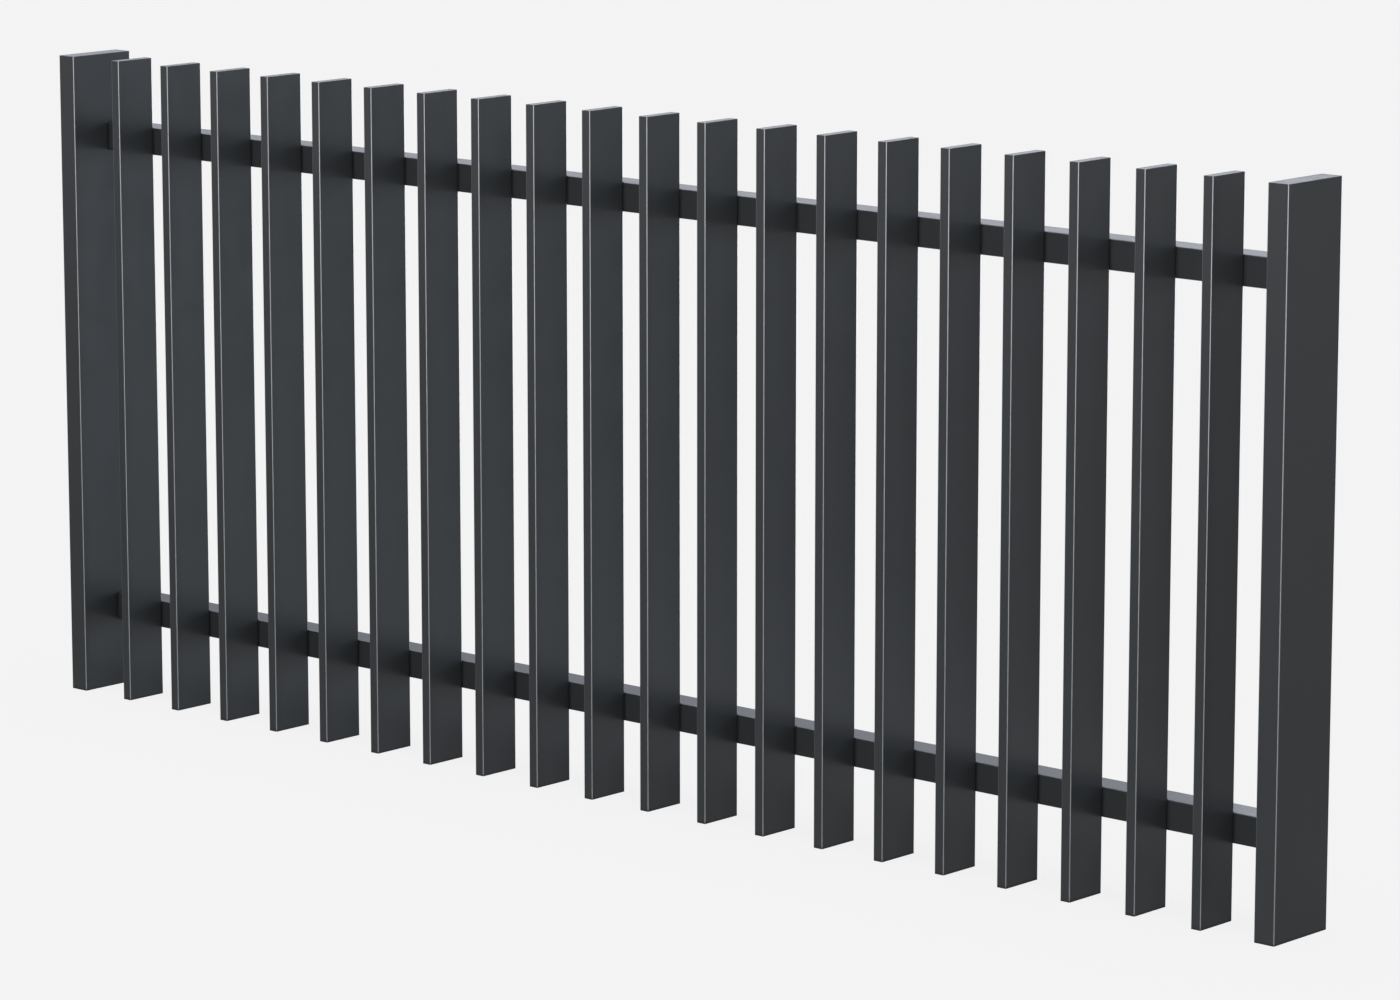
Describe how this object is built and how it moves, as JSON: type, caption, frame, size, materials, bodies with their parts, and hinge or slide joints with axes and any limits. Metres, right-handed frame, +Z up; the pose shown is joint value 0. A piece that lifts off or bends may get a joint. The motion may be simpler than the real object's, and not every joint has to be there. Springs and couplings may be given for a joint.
{
  "type": "vertical blade fence panel",
  "caption": "Straight fence panel of upright blades set edge-on between two deep end posts, carried by an upper and a lower rail behind them, in dark grey powder-coated aluminium.",
  "frame": {"origin": "middle of the left post's foot, on the ground plane", "axes": "+X along the fence to the right post, +Y from the blades to the rails behind them, +Z up"},
  "size_m": [2.3274, 0.1174, 1],
  "materials": {
    "powder_coated_aluminium": "satin powder coat, anthracite grey",
    "end_cap_plastic": "moulded plastic in the same grey"
  },
  "bodies": {
    "root": {"left_post": "powder_coated_aluminium", "right_post": "powder_coated_aluminium", "upper_rail": "powder_coated_aluminium", "lower_rail": "powder_coated_aluminium", "blade_01": "powder_coated_aluminium", "blade_02": "powder_coated_aluminium", "blade_03": "powder_coated_aluminium", "blade_04": "powder_coated_aluminium", "blade_05": "powder_coated_aluminium", "blade_06": "powder_coated_aluminium", "blade_07": "powder_coated_aluminium", "blade_08": "powder_coated_aluminium", "blade_09": "powder_coated_aluminium", "blade_10": "powder_coated_aluminium", "blade_11": "powder_coated_aluminium", "blade_12": "powder_coated_aluminium", "blade_13": "powder_coated_aluminium", "blade_14": "powder_coated_aluminium", "blade_15": "powder_coated_aluminium", "blade_16": "powder_coated_aluminium", "blade_17": "powder_coated_aluminium", "blade_18": "powder_coated_aluminium", "blade_19": "powder_coated_aluminium", "blade_20": "powder_coated_aluminium", "left_post_top_cap": "end_cap_plastic", "right_post_top_cap": "end_cap_plastic", "left_post_foot_cap": "end_cap_plastic", "right_post_foot_cap": "end_cap_plastic", "blade_top_caps": "end_cap_plastic", "blade_foot_caps": "end_cap_plastic"}
  },
  "joints": []
}
